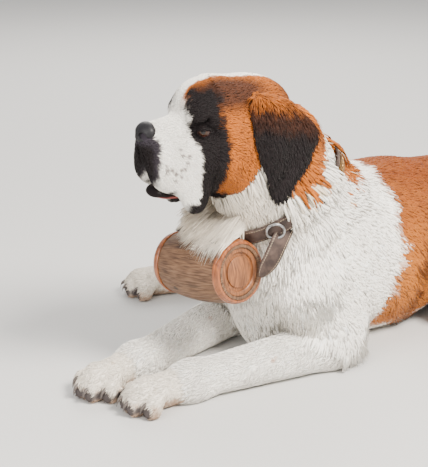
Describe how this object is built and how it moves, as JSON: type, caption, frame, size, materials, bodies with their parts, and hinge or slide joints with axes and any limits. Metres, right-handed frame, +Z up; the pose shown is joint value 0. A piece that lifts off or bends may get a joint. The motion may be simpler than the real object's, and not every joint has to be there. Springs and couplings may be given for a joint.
{
  "type": "saint bernard",
  "caption": "Life-size lying Saint Bernard, head up, one hind leg out to the side, with a plain wooden keg hung from its leather collar.",
  "frame": {"origin": "on the floor under the breastbone, on the flat underside of the chest", "axes": "+Z up, the dog faces -Y, its left side is +X"},
  "size_m": [0.836, 1.4898, 0.5757],
  "materials": {
    "coat_white": "thick, slightly creamy white coat",
    "coat_russet": "red-brown coat, golden on the flank",
    "coat_mask": "near-black coat of mask, ears and lips",
    "nose": "damp, finely pebbled",
    "eye": "wet, dark brown",
    "claw": "dark horn",
    "mouth": "wet pink",
    "leather": "worn dark brown strap",
    "keg_wood": "light brown staves, lightly varnished",
    "varnished_wood": "orange varnished rim",
    "metal": "dull old brass"
  },
  "bodies": {
    "root": {"buckle": "metal", "chest": "coat_white", "collar": "leather", "collar_plate": "metal", "ear_left": "coat_mask", "ear_right": "coat_mask", "eye_left": "eye", "eye_right": "eye", "forearm_left": "coat_white", "forearm_right": "coat_white", "foreclaw_left_1": "claw", "foreclaw_left_2": "claw", "foreclaw_left_3": "claw", "foreclaw_left_4": "claw", "foreclaw_right_1": "claw", "foreclaw_right_2": "claw", "foreclaw_right_3": "claw", "foreclaw_right_4": "claw", "forepaw_left": "coat_white", "forepaw_right": "coat_white", "hanger_left": "leather", "hanger_right": "leather", "head": "coat_russet", "hindclaw_left_1": "claw", "hindclaw_left_2": "claw", "hindclaw_left_3": "claw", "hindclaw_left_4": "claw", "hindclaw_right_1": "claw", "hindclaw_right_2": "claw", "hindclaw_right_3": "claw", "hindclaw_right_4": "claw", "hindpaw_left": "coat_white", "hindpaw_right": "coat_white", "keg": "keg_wood", "keg_board_left": "keg_wood", "keg_board_right": "keg_wood", "keg_hoop_left": "varnished_wood", "keg_hoop_right": "varnished_wood", "loins": "coat_russet", "lower_jaw": "coat_mask", "neck": "coat_white", "nose": "nose", "shank_right": "coat_russet", "strap_end": "leather", "tail_brush": "coat_russet", "tail_root": "coat_russet", "tail_tip": "coat_white", "thigh_left": "coat_russet", "thigh_right": "coat_russet", "tongue": "mouth"}
  },
  "joints": []
}
